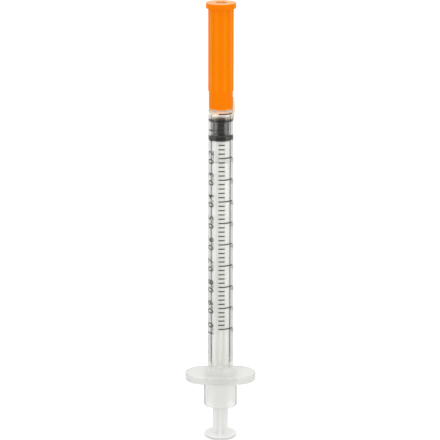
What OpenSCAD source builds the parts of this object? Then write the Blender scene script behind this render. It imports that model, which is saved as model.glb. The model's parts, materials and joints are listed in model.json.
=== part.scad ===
// Insulin syringe of 1 ml with a fixed needle. Sizes are in millimetres.
// +Z runs along the syringe from the thumb rest to the needle, z = 0 is the underside of the
// thumb rest, and the long way of the finger flange lies along X.

/* [Barrel] */
// Bore of the barrel
bore_d = 4.78; // [4.4:0.01:5.2]
// Outside of the barrel at its needle end
barrel_front_d = 6.2; // [5.9:0.05:6.8]
// Outside of the barrel where it leaves the flange
barrel_rear_d = 6.56; // [6.2:0.02:7.2]
// From the flange's upper face to the bead that keeps the stopper in the bore
bead_above = 4.53; // [2.5:0.01:9]
// Wall that closes the needle end
end_wall = 0.8; // [0.6:0.05:1.4]
// Rounding of the shoulder at the needle end
shoulder_r = 0.4; // [0.1:0.05:0.6]
// Fillet where the barrel stands on the flange
root_r = 0.8; // [0.2:0.1:1.2]
// Rise of the shallow cone that ends the bore
end_cone_h = 0.35; // [0.1:0.05:0.5]

/* [Scale and travel] */
// Length of bore that holds the full dose
scale_len = 55.7; // [50:0.1:58]
// How far the stopper may be drawn past the full mark
overdraw = 2.4; // [1:0.1:4]
// Distance from the stopper to the end of the bore as the syringe stands
rest_gap = 1.5; // [0.3:0.05:10]
// Height of the bead that keeps the stopper in the bore
bead_h = 0.14; // [0.08:0.01:0.2]

/* [Flange and rear collar] */
// Finger flange, long way
flange_len = 18.05; // [14:0.05:24]
// Finger flange, short way
flange_w = 9.4; // [9:0.1:12]
// Thickness of the finger flange
flange_t = 2.03; // [1.4:0.01:3]
// Rounding of the flange's edges
flange_edge_r = 0.35; // [0.1:0.05:0.6]
// Outside of the collar behind the flange
collar_d = 8.5; // [8:0.05:8.9]
// Wall of the collar
collar_wall = 0.6; // [0.4:0.05:0.8]
// Length of the collar below the flange
collar_len = 6.66; // [3:0.01:9]

/* [Needle hub] */
// Height of the hub above the shoulder
hub_len = 9.2; // [7:0.1:12]
// Diameter of the hub's tapered core at its tip
hub_tip_d = 3.1; // [2.4:0.05:3.3]
// Number of ribs that grip the shield
hub_rib_count = 6; // [3:1:8]
// Width of a grip rib
hub_rib_w = 0.5; // [0.3:0.05:0.8]
// Height of a grip rib over the core
hub_rib_h = 0.4; // [0.2:0.05:0.5]
// Length of the grip ribs above the shoulder
hub_rib_len = 6.4; // [3:0.1:7]
// Mouth of the glue well in the hub's tip
well_d = 1.7; // [1.2:0.05:2]
// Depth of the glue well
well_depth = 2.4; // [1.5:0.1:4]

/* [Cannula] */
// Outside of the steel tube
cannula_d = 0.33; // [0.2:0.01:0.5]
// Bore of the steel tube
cannula_bore_d = 0.18; // [0.08:0.01:0.19]
// Length of the needle beyond the hub
needle_len = 12.7; // [6:0.1:13]
// Angle of the ground bevel
bevel_angle = 12; // [9:1:20]

/* [Needle shield] */
// Skirt of the shield
skirt_d = 6.0; // [5.8:0.05:6.4]
// Length of the skirt up to the step
skirt_len = 4.4; // [3.2:0.1:8]
// Fluted body of the shield
shield_d = 6.34; // [6.2:0.02:6.8]
// Wall of the shield round the hub
shield_wall = 0.75; // [0.5:0.05:0.9]
// Rim round the closed end
rim_d = 7.46; // [6.9:0.02:8.4]
// Height of the rim
rim_t = 1.35; // [0.8:0.05:2]
// Number of grip flutes round the body
flute_count = 9; // [6:1:12]
// Depth of a grip flute
flute_depth = 0.13; // [0.04:0.01:0.15]
// Radius of the round that cuts a flute
flute_r = 1.6; // [0.8:0.1:2.4]
// Room between the needle's point and the closed end
tip_clear = 2.7; // [1:0.1:6]
// Thickness of the closed end
crown_t = 2; // [1:0.1:3]
// Round recess in the closed end
recess_d = 2.8; // [1.5:0.1:4]
// Depth of that recess
recess_depth = 0.4; // [0.1:0.05:0.6]

/* [Lug beside the shield] */
// Thickness of the clear lug at its thickest
lug_t = 0.41; // [0.2:0.01:0.6]
// Width of the lug round the barrel
lug_w = 1.5; // [0.8:0.1:2.5]
// Reach of the lug below the shoulder
lug_below = 2.6; // [1:0.1:4]
// Reach of the lug above the shoulder
lug_above = 2.9; // [1:0.1:3.4]

/* [Plunger rod] */
// Room between the thumb rest and the collar with the plunger pushed right in
thumb_clear = 6.31; // [2:0.01:10]
// Thumb rest
thumb_d = 8.4; // [7:0.05:8.5]
// Thickness of the thumb rest
thumb_t = 0.9; // [0.7:0.05:2]
// Rounding of the thumb rest's edge
thumb_edge_r = 0.3; // [0.1:0.05:0.35]
// Thickness of the crossed ribs
rib_t = 0.95; // [0.6:0.05:1.3]
// Spread of the ribs where they stand on the thumb rest
flare_d = 4.7; // [4.1:0.1:6]
// Height of that spread
flare_h = 0.7; // [0.3:0.1:2]
// Thickness of the discs at the front of the rod
disc_t = 0.6; // [0.4:0.05:1]
// Clear length between the two discs
disc_pitch = 5; // [3:0.5:12]
// Neck that carries the stopper
neck_d = 1.8; // [1.2:0.05:2.2]
// Height of the neck
neck_h = 1.2; // [0.8:0.05:1.3]
// Head that holds the stopper
head_d = 2.6; // [2.3:0.05:2.9]
// Straight height of the head
head_h = 0.9; // [0.5:0.05:1.1]
// Height of the head's cone
head_cone_h = 1; // [0.6:0.05:1.2]

/* [Stopper] */
// Length of the stopper from its seat to its front edge
stopper_len = 5.47; // [5:0.01:6.5]
// Height of the rear sealing ring
rear_ring_h = 1.31; // [0.9:0.01:1.5]
// Height of the front sealing ring
front_ring_h = 0.8; // [0.5:0.01:1]
// Waist between the rings
waist_d = 4.1; // [3.7:0.02:4.2]
// Rounding of the rings' edges
ring_edge_r = 0.15; // [0.05:0.01:0.2]

/* [Fits] */
// Gap between a sealing ring and the bore, radial
ring_fit = 0.02; // [0.01:0.005:0.05]
// Gap between the rod's ribs and the bore, radial
rod_clear = 0.44; // [0.3:0.01:0.6]
// Gap between the rod's discs and the bead, radial
disc_clear = 0.08; // [0.04:0.01:0.2]
// Gap between the hub's ribs and the shield, radial
grip_fit = 0.03; // [0.01:0.01:0.06]
// Gap between the lug and the shield's skirt, radial
skirt_clear = 0.06; // [0.03:0.01:0.15]
// Gap between the shoulder and the shield's mouth
seat_gap = 0.2; // [0.02:0.02:0.4]
// Gap between the cannula and its channel, radial
channel_clear = 0.04; // [0.02:0.01:0.08]
// Gap round the rod's neck and head inside the stopper
head_clear = 0.05; // [0.02:0.01:0.1]

/* [Hidden] */
$fn = 96;
// Overrun of every cut past the face that it opens
over = 0.5;
// Straight steps in a quarter round of a turned outline
arc_steps = 8;

// Bore from the flange's upper face to its end, and the rod from the underside of the thumb
// rest to the seat of the stopper
barrel_len = bead_above + stopper_len + overdraw + scale_len;
rod_len = thumb_t + thumb_clear + collar_len + flange_t + barrel_len - stopper_len;

// Places along the axis, from the thumb rest to the tip of the shield
stopper_front_z = rod_len + stopper_len;
bore_end_z = stopper_front_z + rest_gap;
shoulder_z = bore_end_z + end_wall;
flange_top_z = bore_end_z - barrel_len;
flange_z = flange_top_z - flange_t;
collar_z = flange_z - collar_len;
bead_z = flange_top_z + bead_above;
hub_tip_z = shoulder_z + hub_len;
well_z = hub_tip_z - well_depth;
cannula_z = bore_end_z + end_cone_h;
needle_tip_z = hub_tip_z + needle_len;
shield_z = shoulder_z + seat_gap;
step_z = shield_z + skirt_len;
chamber_end_z = needle_tip_z + tip_clear;
shield_top_z = chamber_end_z + crown_t;
rim_z = shield_top_z - rim_t;

// Radii that follow from the fits
bore_r = bore_d / 2;
ring_r = bore_r - ring_fit;
rod_r = bore_r - rod_clear;
disc_r = bore_r - bead_h - disc_clear;
collar_r = collar_d / 2;
collar_bore_r = collar_r - collar_wall;
cannula_r = cannula_d / 2;
channel_r = cannula_r + channel_clear;
skirt_r = skirt_d / 2;
grip_r = skirt_r - shield_wall;
hub_rib_r = grip_r - grip_fit;
hub_base_r = hub_rib_r - hub_rib_h;

// Barrel details: rounding of the collar's rim, the step and depth of the bore's lead-in,
// the section of the stop bead, and the lug's thickness at its two ends
rim_round_share = 0.36;
collar_rim_r = collar_wall * rim_round_share;
funnel_step = 0.4;
funnel_depth = 1.4;
bead_section_r = 0.4;
lug_end_t = 0.12;

// Hub details: edge of the tip, the lead on the grip ribs and the bead of glue over the well
hub_edge = 0.2;
hub_lead_h = 0.5;
glue_rise = 0.45;
glue_collar = 0.12;

// Shield details: radius of the needle's chamber, the lead-in at the mouth, the taper between
// the grip and the chamber, the cone that ends the chamber and the rounding of the rim
chamber_r = 1.7;
mouth_lead = 0.2;
grip_taper_h = 0.6;
grip_past_hub = 0.5;
chamber_cone_h = 0.8;
rim_edge_r = 0.2;

// Cannula details: turn of the two lancet grinds about the point, and their steeper angle
lancet_turn = 35;
lancet_extra_angle = 5;

// Head of the rod: how wide its flat tip is. Stopper: depth of the lead-in at the seat
head_tip_share = 0.33;
head_tip_r = head_tip_share * head_d / 2;
seat_lead = 0.15;

// Points along an arc round the centre c
function arc(c, r, from, to) = [
    for (i = [0 : arc_steps])
        let (a = from + (to - from) * i / arc_steps)
            [c.x + r * cos(a), c.y + r * sin(a)]
];

// Half section of the finger flange across its short way, with rounded edges
module flange_section() {
    edge_x = flange_w / 2 - flange_edge_r;
    polygon(concat(
        [[0, flange_z]],
        arc([edge_x, flange_z + flange_edge_r], flange_edge_r, -90, 0),
        arc([edge_x, flange_top_z - flange_edge_r], flange_edge_r, 0, 90),
        [[0, flange_top_z]]
    ));
}

// Finger flange: a straight bar between two half rounds, all with the same section
module flange() {
    end_x = (flange_len - flange_w) / 2;
    for (side = [-1, 1])
        translate([side * end_x, 0, 0])
            rotate(side * -90)
                rotate_extrude(angle = 180)
                    flange_section();
    translate([-end_x, 0, 0])
        rotate([90, 0, 90])
            linear_extrude(2 * end_x) {
                flange_section();
                mirror([1, 0])
                    flange_section();
            }
}

// Turned outside of the moulding: collar, barrel with its draft, shoulder and hub core
module barrel_outside() {
    rear_r = barrel_rear_d / 2;
    front_r = barrel_front_d / 2;
    tip_r = hub_tip_d / 2;
    rotate_extrude()
        polygon(concat(
            [[0, collar_z]],
            arc([collar_r - collar_rim_r, collar_z + collar_rim_r], collar_rim_r, -90, 0),
            [[collar_r, flange_top_z]],
            arc([rear_r + root_r, flange_top_z + root_r], root_r, 270, 180),
            arc([front_r - shoulder_r, shoulder_z - shoulder_r], shoulder_r, 0, 90),
            [
                [hub_base_r, shoulder_z],
                [tip_r, hub_tip_z - hub_edge],
                [tip_r - hub_edge, hub_tip_z],
                [0, hub_tip_z]
            ]
        ));
}

// Ribs along the hub that grip the inside of the shield, with a lead at their upper ends
module hub_ribs() {
    rib_top_z = shoulder_z + hub_rib_len;
    root_z = shoulder_z - end_wall / 2;
    intersection() {
        translate([0, 0, root_z])
            linear_extrude(rib_top_z - root_z)
                for (i = [0 : hub_rib_count - 1])
                    rotate(i * 360 / hub_rib_count)
                        translate([0, -hub_rib_w / 2])
                            square([hub_rib_r + over, hub_rib_w]);
        rotate_extrude()
            polygon([
                [0, root_z],
                [hub_rib_r, root_z],
                [hub_rib_r, rib_top_z - hub_lead_h],
                [hub_rib_r - hub_rib_h, rib_top_z],
                [0, rib_top_z]
            ]);
    }
}

// Clear lug at +X: a lens-shaped rib that stands up from the shoulder beside the shield's skirt
module lug() {
    inner_r = skirt_r + skirt_clear;
    root_x = (bore_r + barrel_front_d / 2) / 2;
    half_len = (lug_below + lug_above) / 2;
    rise = lug_t - lug_end_t;
    lens_r = half_len * half_len / (2 * rise) + rise / 2;
    difference() {
        intersection() {
            translate([inner_r + lug_t - lens_r, 0, shoulder_z + (lug_above - lug_below) / 2])
                rotate([90, 0, 0])
                    cylinder(r = lens_r, h = lug_w, center = true);
            translate([root_x, -lug_w / 2, shoulder_z - lug_below])
                cube([inner_r + lug_t - root_x + over, lug_w, lug_below + lug_above]);
        }
        translate([0, 0, shoulder_z])
            cylinder(r = inner_r, h = lug_above + over);
    }
}

// Turned inside of the moulding: collar, lead-in, bore, channel of the cannula and glue well
module barrel_inside() {
    rotate_extrude()
        polygon(concat(
            [[0, collar_z - over], [collar_bore_r + collar_rim_r + over, collar_z - over]],
            [[collar_bore_r + collar_rim_r, collar_z]],
            arc([collar_bore_r + collar_rim_r, collar_z + collar_rim_r], collar_rim_r, 270, 180),
            [
                [collar_bore_r, flange_z],
                [collar_bore_r - funnel_step, flange_z],
                [bore_r, flange_z + funnel_depth],
                [bore_r, bore_end_z],
                [channel_r, bore_end_z + end_cone_h],
                [channel_r, well_z],
                [well_d / 2, hub_tip_z],
                [well_d / 2, hub_tip_z + over],
                [0, hub_tip_z + over]
            ]
        ));
}

// Bead round the bore, just behind the stopper when it is drawn right back
module stop_bead() {
    half_h = sqrt(pow(bead_section_r, 2) - pow(bead_section_r - bead_h, 2));
    translate([0, 0, bead_z - half_h])
        rotate_extrude()
            translate([bore_r - bead_h + bead_section_r, 0])
                circle(r = bead_section_r, $fn = 32);
}

// One clear moulding: hub, barrel, finger flange and rear collar
module barrel() {
    color([0.86, 0.9, 0.89, 0.5]) {
        difference() {
            union() {
                barrel_outside();
                flange();
                hub_ribs();
                lug();
            }
            barrel_inside();
        }
        stop_bead();
    }
}

// Block that grinds the tube back from its point, on a plane at the given angle to the axis
module grind(angle, turn) {
    block = needle_len;
    translate([cannula_r, 0, needle_tip_z])
        rotate([0, 0, turn])
            rotate([0, angle, 0])
                translate([-block, -block / 2, -block / 2])
                    cube(block);
}

// Steel tube with a lancet point, glued into the hub
module cannula() {
    color([0.78, 0.79, 0.8])
        difference() {
            translate([0, 0, cannula_z])
                cylinder(r = cannula_r, h = needle_tip_z - cannula_z);
            translate([0, 0, cannula_z - over])
                cylinder(d = cannula_bore_d, h = needle_tip_z - cannula_z + 2 * over);
            grind(bevel_angle, 0);
            for (side = [-1, 1])
                grind(bevel_angle + lancet_extra_angle, side * lancet_turn);
        }
}

// Cured glue that fills the well in the hub and climbs a little way up the cannula
module needle_adhesive() {
    color([0.93, 0.92, 0.85, 0.8])
        rotate_extrude()
            polygon([
                [cannula_r, well_z],
                [channel_r, well_z],
                [well_d / 2, hub_tip_z],
                [cannula_r + glue_collar, hub_tip_z + glue_rise],
                [cannula_r, hub_tip_z + glue_rise]
            ]);
}

// Plan of the shield's body: a round with shallow flutes
module fluted_plan() {
    body_r = shield_d / 2;
    difference() {
        circle(r = body_r);
        for (i = [0 : flute_count - 1])
            rotate(-90 + (i + 1 / 2) * 360 / flute_count)
                translate([body_r + flute_r - flute_depth, 0])
                    circle(r = flute_r);
    }
}

// Needle shield: skirt, fluted body and rim round one stepped bore that is closed at its end
module needle_shield() {
    rim_r = rim_d / 2;
    grip_end_z = hub_tip_z + grip_past_hub;
    color([1, 0.5, 0.02])
        difference() {
            union() {
                translate([0, 0, shield_z])
                    cylinder(r = skirt_r, h = skirt_len + over);
                translate([0, 0, step_z])
                    linear_extrude(rim_z - step_z + rim_t / 2)
                        fluted_plan();
                rotate_extrude()
                    polygon(concat(
                        [[0, rim_z]],
                        arc([rim_r - rim_edge_r, rim_z + rim_edge_r], rim_edge_r, -90, 0),
                        arc([rim_r - rim_edge_r, shield_top_z - rim_edge_r], rim_edge_r, 0, 90),
                        [[0, shield_top_z]]
                    ));
            }
            rotate_extrude()
                polygon([
                    [0, shield_z - over],
                    [grip_r + mouth_lead + over, shield_z - over],
                    [grip_r, shield_z + mouth_lead],
                    [grip_r, grip_end_z],
                    [chamber_r, grip_end_z + grip_taper_h],
                    [chamber_r, chamber_end_z - chamber_cone_h],
                    [0, chamber_end_z]
                ]);
            translate([0, 0, shield_top_z - recess_depth])
                cylinder(d = recess_d, h = recess_depth + over);
        }
}

// Rubber stopper: two sealing rings on a waist, a low cone in front and a pocket for the rod's head
module plunger_stopper() {
    rear_z = rod_len;
    rear_ring_z = rear_z + rear_ring_h;
    front_ring_z = stopper_front_z - front_ring_h;
    edge_r = ring_r - ring_edge_r;
    waist_r = waist_d / 2;
    pocket_r = head_d / 2 + head_clear;
    mouth_r = neck_d / 2 + head_clear;
    head_z = rear_z + neck_h;
    color([0.2, 0.21, 0.22])
        rotate_extrude()
            polygon(concat(
                [[mouth_r + seat_lead, rear_z]],
                arc([edge_r, rear_z + ring_edge_r], ring_edge_r, -90, 0),
                arc([edge_r, rear_ring_z - ring_edge_r], ring_edge_r, 0, 90),
                [[waist_r, rear_ring_z], [waist_r, front_ring_z]],
                arc([edge_r, front_ring_z + ring_edge_r], ring_edge_r, -90, 0),
                arc([edge_r, stopper_front_z - ring_edge_r], ring_edge_r, 0, 90),
                [
                    [0, stopper_front_z + end_cone_h * edge_r / bore_r],
                    [0, head_z + head_h + head_cone_h + head_clear],
                    [head_tip_r + head_clear, head_z + head_h + head_cone_h + head_clear],
                    [pocket_r, head_z + head_h + head_clear],
                    [pocket_r, head_z - head_clear],
                    [mouth_r, head_z - head_clear],
                    [mouth_r, rear_z + seat_lead]
                ]
            ));
}

// Plan of the rod: two ribs crossed at right angles, with round outer ends
module cross_plan(r) {
    intersection() {
        circle(r = r);
        union() {
            square([2 * r + over, rib_t], center = true);
            square([rib_t, 2 * r + over], center = true);
        }
    }
}

// Plunger rod: thumb rest, crossed ribs, two discs, and a neck and head inside the stopper
module plunger_rod() {
    thumb_r = thumb_d / 2;
    lower_disc_z = rod_len - 2 * disc_t - disc_pitch;
    head_z = rod_len + neck_h;
    head_r = head_d / 2;
    color([0.9, 0.9, 0.87]) {
        rotate_extrude()
            polygon(concat(
                [[0, 0]],
                arc([thumb_r - thumb_edge_r, thumb_edge_r], thumb_edge_r, -90, 0),
                arc([thumb_r - thumb_edge_r, thumb_t - thumb_edge_r], thumb_edge_r, 0, 90),
                [[0, thumb_t]]
            ));
        translate([0, 0, thumb_t / 2])
            linear_extrude(rod_len - disc_t / 2 - thumb_t / 2)
                cross_plan(rod_r);
        intersection() {
            translate([0, 0, thumb_t / 2])
                linear_extrude(thumb_t / 2 + flare_h)
                    cross_plan(flare_d / 2);
            translate([0, 0, thumb_t])
                cylinder(r1 = flare_d / 2, r2 = rod_r, h = flare_h);
        }
        for (z = [lower_disc_z, rod_len - disc_t])
            translate([0, 0, z])
                cylinder(r = disc_r, h = disc_t);
        translate([0, 0, rod_len - disc_t / 2])
            cylinder(d = neck_d, h = neck_h + disc_t);
        rotate_extrude()
            polygon([
                [0, head_z],
                [head_r, head_z],
                [head_r, head_z + head_h],
                [head_tip_r, head_z + head_h + head_cone_h],
                [0, head_z + head_h + head_cone_h]
            ]);
    }
}

barrel();
cannula();
needle_adhesive();
needle_shield();
plunger_stopper();
plunger_rod();
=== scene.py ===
"""Insulin syringe of 1 ml with a fixed needle: its mouldings, its print and a plain studio."""

import json
from math import cos, pi, radians, sin

import bmesh
import bpy
import numpy as np
from bpy.props import FloatProperty, FloatVectorProperty, IntProperty, PointerProperty
from bpy.types import Operator, Panel, PropertyGroup
from mathutils import Matrix, Vector


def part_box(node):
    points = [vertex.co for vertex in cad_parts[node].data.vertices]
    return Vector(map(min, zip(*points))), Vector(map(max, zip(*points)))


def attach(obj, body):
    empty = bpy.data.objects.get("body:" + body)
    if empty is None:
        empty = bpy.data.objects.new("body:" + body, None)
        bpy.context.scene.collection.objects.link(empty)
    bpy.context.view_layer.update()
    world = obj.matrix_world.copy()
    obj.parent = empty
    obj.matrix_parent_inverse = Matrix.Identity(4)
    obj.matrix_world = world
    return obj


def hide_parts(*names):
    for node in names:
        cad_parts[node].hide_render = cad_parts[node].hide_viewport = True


bl_info = {
    "name": "Insulin Syringe",
    "version": (1, 0, 0),
    "blender": (4, 5, 0),
    "location": "View3D > Sidebar > Syringe",
    "description": "Dresses a fixed-needle insulin syringe and lights it in a plain studio",
    "category": "Object",
}

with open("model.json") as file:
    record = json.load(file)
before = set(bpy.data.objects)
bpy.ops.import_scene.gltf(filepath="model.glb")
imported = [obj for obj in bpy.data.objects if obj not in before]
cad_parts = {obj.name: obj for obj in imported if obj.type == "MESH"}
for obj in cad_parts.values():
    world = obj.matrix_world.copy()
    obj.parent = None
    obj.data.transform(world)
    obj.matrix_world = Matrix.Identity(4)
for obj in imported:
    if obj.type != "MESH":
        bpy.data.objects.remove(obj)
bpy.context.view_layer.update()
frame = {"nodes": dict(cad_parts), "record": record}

MM = 0.001
# Too small to matter, in metres or as a sine
TINY = 1e-6
# Edges sharper than this stay sharp in smooth shading
SHARP = radians(35)
# How far the ink stands off the barrel, over its own thickness
INK_LIFT = 0.1
# Enough for light to pass all the clear walls of the barrel
LIGHT_BOUNCES = 24
WHITE = (1, 1, 1)
BLACK = (0, 0, 0)
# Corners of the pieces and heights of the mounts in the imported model
BARREL_LOW, BARREL_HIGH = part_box("barrel")
SHIELD_LOW, SHIELD_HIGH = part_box("needle_shield")
STOPPER_LOW, STOPPER_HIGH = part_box("plunger_stopper")
ROD_LOW, ROD_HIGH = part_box("plunger_rod")
MOUNT_Z = {mount["name"]: mount["pos_m"][2] for mount in frame["record"]["mounts"]}
FLANGE_LOW = MOUNT_Z["flange_lower"]
FLANGE_TOP = MOUNT_Z["flange_upper"]


# Properties

def kind(maker, to_unit=lambda value: value, **settings):
    """A function that makes properties of one kind from a name, a description and a default in
    plain units, which is turned into the unit that it is kept in."""
    def make(name, description, plain):
        return maker(name=name, description=description, default=to_unit(plain), **settings)
    return make


def metres(millimetres):
    """A length, or each part of a place, in metres."""
    return (np.array(millimetres) * MM).tolist()


length = kind(FloatProperty, metres, min=0, precision=5, unit="LENGTH")
point = kind(FloatVectorProperty, metres, size=3, precision=4, unit="LENGTH")
turn = kind(FloatProperty, radians, subtype="ANGLE")
number = kind(FloatProperty, min=0)
whole = kind(IntProperty, min=1)
share = kind(FloatProperty, min=0, max=1, subtype="FACTOR")
colour = kind(FloatVectorProperty, size=3, min=0, max=1, subtype="COLOR")


class BarrelLooks(PropertyGroup):
    """Bore, taper and clear finish of the barrel."""

    bore_d: length("Bore", "Inside of the barrel", 4.78)
    front_d: length("Front", "Outside of the barrel at its needle end", 6.2)
    rear_d: length("Rear", "Outside of the barrel where it leaves the flange", 6.56)
    root_r: length("Root", "Fillet where the barrel stands on the flange", 0.8)
    shoulder_r: length("Shoulder", "Rounding at the needle end", 0.4)
    end_wall: length("End wall", "Wall that closes the needle end", 0.8)
    end_cone_h: length("End cone", "Rise of the shallow cone that ends the bore", 0.35)
    bead_z: length("Bead", "Height of the bead that keeps the stopper in", 21.93)
    bead_h: length("Bead height", "How far the bead stands into the bore", 0.05)
    bead_r: length("Bead round", "Radius of the bead's section", 6.0)
    edge_r: length("Flange edge", "Rounding of the flange's edges", 0.35)
    collar_d: length("Collar", "Outside of the collar behind the flange", 8.5)
    collar_wall: length("Collar wall", "Wall of the collar", 0.6)
    lip: length("Lip", "Width of the slope inside the collar's rim", 0.2)
    funnel: length("Lead-in", "Depth of the cone that leads into the bore", 1.4)
    hub_len: length("Hub", "Height of the needle hub above the shoulder", 9.2)
    hub_d: length("Hub base", "Diameter of the hub's core at the shoulder", 3.64)
    hub_tip_d: length("Hub tip", "Diameter of the hub's core at its tip", 3.1)
    rib_count: whole("Hub ribs", "Number of ribs that grip the shield", 6)
    rib_w: length("Hub rib", "Width of a grip rib", 0.5)
    rib_d: length("Across ribs", "Diameter over the grip ribs", 4.44)
    rib_len: length("Rib length", "Length of the grip ribs above the shoulder", 6.4)
    rib_slope: length("Rib slope", "Length over which a grip rib runs out", 0.5)
    well_d: length("Well", "Mouth of the glue well in the hub's tip", 1.7)
    well_depth: length("Well depth", "Depth of the glue well", 2.4)
    channel_d: length("Channel", "Bore that the needle passes", 0.41)
    lug_t: length("Lug", "Thickness of the lug at its thickest", 0.41)
    lug_end_t: length("Lug ends", "Thickness of the lug at its ends", 0.12)
    lug_inner_d: length("Lug inside", "Diameter of the lug's inner face", 6.12)
    lug_w: length("Lug width", "Width of the lug round the barrel", 1.5)
    lug_below: length("Lug below", "Reach of the lug below the shoulder", 2.6)
    lug_above: length("Lug above", "Reach of the lug above the shoulder", 2.9)
    clear: colour("Clear", "Light that passes the clear wall", (0.885, 0.88, 0.855))
    thick: colour("Thick", "Light that passes the wall near the flange", (0.765, 0.768, 0.735))
    # Edge, Rim and Bore line are painted shade: dark tints where the wall, the collar's rim and the
    # bore are seen edge on
    edge: colour("Edge", "Light that passes the wall at a glancing angle", (0.36, 0.37, 0.362))
    rim: colour("Rim", "Light that passes the collar's wall edge on", (0.12, 0.122, 0.118))
    line: colour("Bore line", "Light that passes the bore at a glancing angle", (0.03, 0.03, 0.029))
    # Warm is a painted reflection: the shield's orange laid in the clear needle end
    warm: colour("Warm", "Light that passes the solid needle end", (0.95, 0.835, 0.71))
    milk: colour("Milk", "Milky plastic of the thin collar", (0.9, 0.905, 0.885))
    flange: colour("Flange", "Milky plastic of the flange", (0.845, 0.85, 0.83))
    # Side is painted shade on the flange's side
    side: colour("Side", "Milky plastic seen on the flange's side", (0.78, 0.785, 0.76))
    # Core is painted shade of the dark bore seen through the flange
    core: colour("Core", "Milky plastic over the dark of the bore", (0.68, 0.685, 0.66))
    # Ends is painted shade at the flange's two ends
    ends: colour("Ends", "Milky plastic at the flange's two ends", (0.72, 0.725, 0.7))
    # Peach is a painted reflection of the shield's orange on the milky needle end
    peach: colour("Peach", "Milky plastic of the solid needle end", (1.0, 0.84, 0.7))
    # Lug is a painted reflection of the shield's orange on the lug
    lug: colour("Lug", "Milky plastic of the lug over the shield", (1.0, 0.72, 0.45))
    clear_z: length("Clear height", "Height where the thicker wall's tint has faded", 70)
    line_at: share("Line place", "How edge on the wall is seen at the bore's line", 0.3)
    line_lean: number("Line lean", "How much that grows with each metre of height", 0.74)
    milk_share: share("Milkiness", "How much the flange scatters light", 0.8)
    collar_share: share("Collar milkiness", "How much the thin collar scatters light", 0.75)
    end_share: share("End milkiness", "How much the solid needle end scatters light", 0.5)


class ShieldLooks(PropertyGroup):
    """Shape and finish of the needle shield."""

    skirt_d: length("Skirt", "Outside of the skirt", 6.0)
    skirt_len: length("Skirt length", "Length of the skirt up to the step", 4.4)
    body_d: length("Body", "Outside of the fluted body", 6.34)
    wall: length("Wall", "Wall round the hub", 0.75)
    rim_t: length("Rim", "Height of the rim round the closed end", 1.35)
    flute_count: whole("Flutes", "Number of grip flutes", 9)
    flute_depth: length("Flute depth", "Depth of a grip flute", 0.13)
    flute_r: length("Flute radius", "Radius of the round that cuts a flute", 1.6)
    flute_soft: length("Flute edge", "Softness of the flutes' edges", 0.05)
    grip_len: length("Grip", "Length of the bore that holds the hub", 9.5)
    chamber_d: length("Chamber", "Bore round the needle", 3.4)
    crown_t: length("Crown", "Thickness of the closed end", 2.0)
    recess_d: length("Recess", "Round recess in the closed end", 2.8)
    recess_depth: length("Recess depth", "Depth of that recess", 0.18)
    plastic: colour("Orange", "Orange of the moulding", (1.0, 0.232, 0.0))
    # Thin orange is painted light: lighter orange in the flutes
    thin: colour("Thin orange", "Orange where a flute makes the wall thin", (1.0, 0.29, 0.0))
    # Pale orange is a painted highlight on the top of the closed end
    pale: colour("Pale orange", "Worn and glossy top of the closed end", (1.0, 0.45, 0.11))
    # Recess is painted shade in the recess of the closed end
    recess_shade: colour("Recess", "Orange in the recess of the closed end", (0.84, 0.25, 0.04))
    inside: colour("Inner glow", "Light that comes through the wall to the inside", (0.34, 0.3, 0.15))


class RodLooks(PropertyGroup):
    """Shape and finish of the plunger rod."""

    thumb_t: length("Thumb rest", "Thickness of the thumb rest", 0.9)
    thumb_edge_r: length("Thumb edge", "Rounding of the thumb rest's edge", 0.3)
    rib_t: length("Rib", "Thickness of the crossed ribs", 0.95)
    rib_span: length("Spread", "Across the crossed ribs", 3.9)
    rib_soft: length("Rib edge", "Softness of the ribs' outer edges", 0.1)
    rib_fillet: length("Rib fillet", "Fillet between two ribs", 0.2)
    flare_d: length("Flare", "Spread of the ribs on the thumb rest", 4.7)
    flare_h: length("Flare height", "Height of that spread", 0.7)
    disc_t: length("Disc", "Thickness of a disc", 0.6)
    disc_d: length("Disc across", "Across a disc", 4.34)
    disc_pitch: length("Disc pitch", "Clear length between the discs", 5.0)
    neck_d: length("Neck", "Neck that carries the stopper", 1.8)
    neck_h: length("Neck height", "Height of the neck", 1.2)
    head_d: length("Head", "Head that holds the stopper", 2.6)
    head_h: length("Head height", "Straight height of the head", 0.9)
    head_cone_h: length("Head cone", "Height of the head's cone", 1.0)
    head_tip: share("Head tip", "Width of the head's tip over the head's", 0.33)
    dull_z: length("Dull height", "Height where the rib edges' darkness starts to fade", 13)
    faint_z: length("Faint height", "Height where it has faded", 26)
    plastic: colour("Milky", "Milky natural plastic", (0.84, 0.845, 0.825))
    # Rib edges are painted shade on the ribs' outer edges
    rib_edge_shade: colour("Rib edges", "Milky plastic on the ribs' outer edges", (0.73, 0.737, 0.715))
    # Side is painted shade on the side of the thumb rest
    side: colour("Side", "Milky plastic on the side of the thumb rest", (0.6, 0.605, 0.585))
    # Rest is painted light on the face of the thumb rest
    rest: colour("Rest", "Milky plastic on the face of the thumb rest", (0.85, 0.855, 0.84))


class StopperLooks(PropertyGroup):
    """Shape and finish of the rubber stopper."""

    rear_ring_h: length("Rear ring", "Height of the rear sealing ring", 1.31)
    front_ring_h: length("Front ring", "Height of the front sealing ring", 0.8)
    waist_d: length("Waist", "Waist between the rings", 4.24)
    edge_r: length("Ring edge", "Rounding of the rings' edges", 0.15)
    squeeze: length("Squeeze", "How far a ring presses into the wall of the bore", 0.015)
    cone_h: length("Cone", "Rise of the cone in front", 0.33)
    head_clear: length("Seat", "Gap round the rod's neck and head", 0.05)
    rubber: colour("Rubber", "Black rubber", (0.014, 0.016, 0.017))
    bloom: colour("Bloom", "Paler grain of the rubber", (0.024, 0.025, 0.025))


class NeedleLooks(PropertyGroup):
    """Finish of the needle and of the resin that holds it."""

    steel: colour("Steel", "Drawn stainless steel", (0.62, 0.63, 0.64))
    streak: colour("Streak", "Its bright streaks", (0.8, 0.81, 0.82))
    resin: colour("Resin", "Clear cured resin", (0.9, 0.88, 0.78))
    flow: colour("Flow", "Clearer flow in the resin", (0.95, 0.94, 0.88))


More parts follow.
